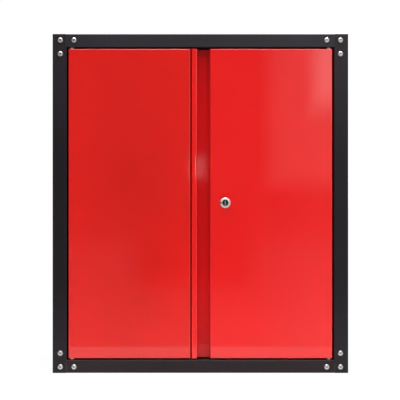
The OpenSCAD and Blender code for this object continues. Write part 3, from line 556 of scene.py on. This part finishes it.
def chamfered_nut(centre, front, back, across_flats, bore):
    segments = 72
    side_angle = math.radians(60)
    chamfer_share = 0.95
    chamfer_r = chamfer_share * across_flats / 2
    slope = math.tan(math.radians(30))
    mouth = 0.0005
    nut = bmesh.new()
    columns = []
    for number in range(segments):
        angle = 2 * math.pi * number / segments
        side_r = across_flats / 2 / math.cos(angle % side_angle - side_angle / 2)
        drop = (side_r - chamfer_r) * slope
        outline = (
            (bore + mouth, front), (chamfer_r, front), (side_r, front + drop), (side_r, back - drop),
            (chamfer_r, back), (bore + mouth, back), (bore, back - mouth), (bore, front + mouth),
        )
        column = []
        for radius, depth in outline:
            place = (centre.x + radius * math.cos(angle), depth, centre.z + radius * math.sin(angle))
            column.append(nut.verts.new(place))
        columns.append(column)
    join_rings(nut, columns + columns[:1], capped=False)
    return nut


def flat_sided_thread(centre, front, back, radius, across_flats, pitch):
    turns = (back - front) / pitch
    steps = 48
    ridge = 0.00025
    half_ridge = 0.4 * pitch
    sink = 0.0001
    least_sine = 0.1
    thread = bmesh.new()
    rings = []
    for number in range(round(turns * steps) + 1):
        angle = 2 * math.pi * number / steps
        flat_r = across_flats / 2 / max(abs(math.sin(angle)), least_sine) - sink
        ring = []
        for rise, shift in ((-sink, -half_ridge), (ridge, 0), (-sink, half_ridge)):
            reach = min(radius + rise, flat_r)
            depth = min(max(front + pitch * number / steps + shift, front), back)
            place = (centre.x + reach * math.cos(angle), depth, centre.z + reach * math.sin(angle))
            ring.append(thread.verts.new(place))
        rings.append(ring)
    join_rings(thread, rings)
    return thread


nut_low, nut_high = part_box("lock_nut")
lock_centre = (nut_low + nut_high) / 2
nut_bore = 0.00905
nut_shape = chamfered_nut(lock_centre, nut_low.y, nut_high.y, nut_high.z - nut_low.z, nut_bore)
lock_nut = finish_piece("lock_nut_chamfered", nut_shape, zinc, "right_door")
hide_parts("lock_nut")
body_r = 0.009
body_flats = 0.0158
thread_pitch = 0.0015
thread_gap = 0.0004
thread_front = nut_high.y + thread_gap
thread_back = lock_high.y - thread_gap
thread_shape = flat_sided_thread(
    lock_centre, thread_front, thread_back, body_r, body_flats, thread_pitch,
)
finish_piece("lock_thread", thread_shape, chrome, "right_door")


# Key shutter
# A spring-loaded slip of bright steel closes the keyway just behind the plug's face.
# Its ends are rounded and its front edge is broken all round.

def round_ended_slip(centre, front, back, width, height, edge):
    arc_steps = 8
    slip = bmesh.new()
    rings = []
    for depth, inset in ((back, 0), (front + edge, 0), (front, edge)):
        end_r = width / 2 - inset
        ring = []
        for up in (1, -1):
            end_z = centre.z + up * (height - width) / 2
            for step in range(arc_steps + 1):
                angle = math.pi * step / arc_steps
                place_x = centre.x + up * end_r * math.cos(angle)
                place_z = end_z + up * end_r * math.sin(angle)
                ring.append(slip.verts.new((place_x, depth, place_z)))
        rings.append(ring)
    join_rings(slip, rings)
    return slip


shutter_steel = mottled_finish(
    "shutter_steel", dark=(0.52, 0.50, 0.52), light=(0.66, 0.64, 0.66),
    rough=(0.35, 0.48), cloud=700, metal=1,
)
shutter_sink = 0.0006
shutter_t = 0.0010
shutter_w = 0.0021
shutter_h = 0.0083
shutter_edge = 0.0002
shutter_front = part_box("lock_plug")[0].y + shutter_sink
shutter_back = shutter_front + shutter_t
shutter_shape = round_ended_slip(
    lock_centre, shutter_front, shutter_back, shutter_w, shutter_h, shutter_edge,
)
finish_piece("key_shutter", shutter_shape, shutter_steel, "lock")


# Studio floor
# One matt floor: white paper under and round the cabinet, which gives way to grey in front of it.
# The grey darkens with distance as painted shade, most in the middle as a painted shadow, and is
# lighter at the sides and at the right, the right as a painted pool of light.
# To the eye and in reflections it shows these tones nearly unshaded, and it still takes the shadow.

def combine(tree, operation, first, second):
    return finish_node(tree, "Math", {0: first, 1: second}, operation=operation)["Value"]


def tone_by_distance(tree, distance, greys):
    far = greys[0][0]
    ramp = tree.nodes.new("ShaderNodeValToRGB")
    stops = ramp.color_ramp.elements
    stops.remove(stops[1])
    stops[0].position = 0
    for grey_y, tone in greys:
        stop = stops[0] if grey_y == far else stops.new(1 - grey_y / far)
        stop.color = (tone, tone, tone, 1)
    nearness = spread_over(tree, distance, start=far, stop=0, low=0, high=1, curve="LINEAR")
    tree.links.new(nearness, ramp.inputs["Fac"])
    return ramp.outputs["Color"]


def show_unshaded(tree, tones, share):
    ray = finish_node(tree, "LightPath", {})
    seen = combine(tree, "MAXIMUM", ray["Is Camera Ray"], ray["Is Glossy Ray"])
    seen_through = combine(tree, "MAXIMUM", seen, ray["Is Transmission Ray"])
    part = combine(tree, "MULTIPLY", seen_through, share)
    shaded = tree.nodes["Principled BSDF"].outputs["BSDF"]
    unshaded = finish_node(tree, "Emission", {"Color": tones})["Emission"]
    both = finish_node(tree, "MixShader", {"Fac": part, 1: shaded, 2: unshaded})["Shader"]
    tree.links.new(both, tree.nodes["Material Output"].inputs["Surface"])


floor_drop = 0.0005
floor_half = 40
paper_reach = 0.345
paper_fade = 0.02
paper_y = cad_low.y - paper_reach
paper_white = (1, 1, 1, 1)
far_y = -32
# Painted shadow: the middle greys are darker than the side greys.
shadowed_middle_greys = ((far_y, 0.22), (-3.0, 0.21), (-2.5, 0.25), (-2.0, 0.33), (paper_y, 0.47))
side_greys = ((far_y, 0.24), (-12, 0.24), (-6.8, 0.29), (-3.9, 0.37), (-2.0, 0.38), (paper_y, 0.47))
# The side tones fan out from a point behind the cabinet.
fan_y = 1.67
floor_matt = new_material("studio_floor")
floor_tree = floor_matt.node_tree
floor_surface = floor_tree.nodes["Principled BSDF"].inputs
floor_surface["Specular IOR Level"].default_value = 0.1
floor_surface["Roughness"].default_value = 0.9
floor_place = finish_node(floor_tree, "TexCoord", {})["Object"]
floor_axes = finish_node(floor_tree, "SeparateXYZ", {"Vector": floor_place})
fan_depth = combine(floor_tree, "SUBTRACT", fan_y, floor_axes["Y"])
bearing = combine(floor_tree, "DIVIDE", floor_axes["X"], fan_depth)
left_share = spread_over(floor_tree, bearing, start=-0.050, stop=-0.085, low=0, high=1)
right_share = spread_over(floor_tree, bearing, start=0.035, stop=0.070, low=0, high=1)
side_share = combine(floor_tree, "ADD", left_share, right_share)
middle_tones = tone_by_distance(floor_tree, floor_axes["Y"], shadowed_middle_greys)
side_tones = tone_by_distance(floor_tree, floor_axes["Y"], side_greys)
grey_tones = blend_tones(floor_tree, "MIX", side_share, middle_tones, side_tones)
# Painted light: the grey brightens towards the right.
right_painted_light = spread_over(floor_tree, bearing, start=0.045, stop=0.130, low=1, high=1.42)
lit_greys = blend_tones(floor_tree, "MULTIPLY", 1, grey_tones, right_painted_light)
paper_share = spread_over(
    floor_tree, floor_axes["Y"], start=paper_y - paper_fade, stop=paper_y + paper_fade, low=0, high=1,
)
floor_tones = blend_tones(floor_tree, "MIX", paper_share, lit_greys, paper_white)
floor_cloud = add_noise(floor_tree, floor_place, scale=3, detail=2)
floor_stain = add_tones(
    floor_tree, floor_cloud, dark=(0.87, 0.87, 0.87), light=(0.90, 0.90, 0.90),
)
stained_tones = blend_tones(floor_tree, "MULTIPLY", 1, floor_tones, floor_stain)
floor_tree.links.new(stained_tones, floor_surface["Base Color"])
unshaded_share = spread_over(floor_tree, floor_axes["Y"], start=0.3, stop=1.5, low=0.9, high=1.0)
show_unshaded(floor_tree, floor_tones, unshaded_share)

floor_z = cad_low.z - floor_drop
floor_mesh = bpy.data.meshes.new("studio_floor")
floor_corners = [
    (-floor_half, -floor_half, floor_z), (floor_half, -floor_half, floor_z),
    (floor_half, floor_half, floor_z), (-floor_half, floor_half, floor_z),
]
floor_mesh.from_pydata(floor_corners, [], [(0, 1, 2, 3)])
floor_mesh.materials.append(floor_matt)
floor = bpy.data.objects.new("studio_floor", floor_mesh)
bpy.context.scene.collection.objects.link(floor)


# Studio light
# A wide softbox and a smaller, brighter one stand at the right, and three hang overhead.
# A small lamp above the camera makes the spot of light in the pull channel.
# The room is white behind the cabinet, dim in front of it and a little lighter at the right.

def hang_softbox(name, place, aim, width, height, power, soft_edge=0, spread=180):
    light = bpy.data.lights.new(name, "AREA")
    light.shape = "RECTANGLE"
    light.size = width
    light.size_y = height
    light.energy = power
    light.spread = math.radians(spread)
    if soft_edge > 0:
        light.use_nodes = True
        tree = light.node_tree
        half = 0.5
        spot = finish_node(tree, "NewGeometry", {})["Parametric"]
        from_centre = {0: spot, 1: (half, half, 0)}
        off_centre = finish_node(tree, "VectorMath", from_centre, operation="SUBTRACT")["Vector"]
        either_way = finish_node(tree, "VectorMath", {0: off_centre}, operation="ABSOLUTE")["Vector"]
        axes = finish_node(tree, "SeparateXYZ", {"Vector": either_way})
        farther = combine(tree, "MAXIMUM", axes["X"], axes["Y"])
        fade = spread_over(tree, farther, start=half, stop=half - soft_edge, low=0, high=1)
        tree.links.new(fade, tree.nodes["Emission"].inputs["Strength"])
    softbox = bpy.data.objects.new(name, light)
    softbox.location = place
    direction = Vector(aim) - Vector(place)
    softbox.rotation_euler = direction.to_track_quat("-Z", "Y").to_euler()
    bpy.context.scene.collection.objects.link(softbox)


hang_softbox(
    "right_softbox", place=(1.11, -2.0, 0.96), aim=(1.11, 0, 0.96),
    width=1.8, height=1.9, power=3.5, soft_edge=0.06,
)
hang_softbox(
    "corner_softbox", place=(0.74, -1.98, 0.89), aim=(0.74, 0, 0.89),
    width=0.7, height=1.2, power=3.2, soft_edge=0.14,
)
hang_softbox(
    "top_softbox", place=(0.1, -1.6, 1.9), aim=(0, -0.2, 0), width=2.0, height=1.2, power=22,
)
hang_softbox(
    "overhead_softbox", place=(0, 0.3, 3.0), aim=(0, 0.3, 0), width=4.0, height=4.0, power=146,
)
hang_softbox(
    "paper_softbox", place=(0, -0.62, 1.7), aim=(0, -0.62, 0),
    width=1.4, height=0.3, power=2.1, spread=40,
)
hang_softbox(
    "eye_lamp", place=(-0.014, -2.23, 0.142), aim=(-0.014, 0, 0.142),
    width=0.060, height=0.12, power=0.085, soft_edge=0.3,
)

room = bpy.data.worlds.new("studio_room")
room.use_nodes = True
room_tree = room.node_tree
room_light = room_tree.nodes["Background"].inputs
room_light["Color"].default_value = (1, 1, 1, 1)
room_place = finish_node(room_tree, "TexCoord", {})["Generated"]
room_axes = finish_node(room_tree, "SeparateXYZ", {"Vector": room_place})
front_level = spread_over(room_tree, room_axes["Y"], start=-0.97, stop=-0.80, low=0.21, high=0.26)
back_level = spread_over(room_tree, room_axes["Y"], start=0.40, stop=0.80, low=0, high=0.74)
right_level = spread_over(room_tree, room_axes["X"], start=0.06, stop=0.14, low=0, high=0.12)
front_and_back = combine(room_tree, "ADD", front_level, back_level)
room_tree.links.new(combine(room_tree, "ADD", front_and_back, right_level), room_light["Strength"])
bpy.context.scene.world = room
bpy.context.scene.view_settings.view_transform = "Standard"


# Camera
# It looks square at the front, from about 2 m away and a little above the middle.
# A long lens takes in the whole front, and neither roof nor sides show.

camera_data = bpy.data.cameras.new("camera")
camera_data.lens = 86.53
camera_data.sensor_width = 36
camera = bpy.data.objects.new("camera", camera_data)
camera.location = (-0.0008, -2.230, 0.0071)
camera.rotation_euler = (math.radians(90), 0, 0)
bpy.context.scene.collection.objects.link(camera)
bpy.context.scene.camera = camera

bpy.context.view_layer.update()
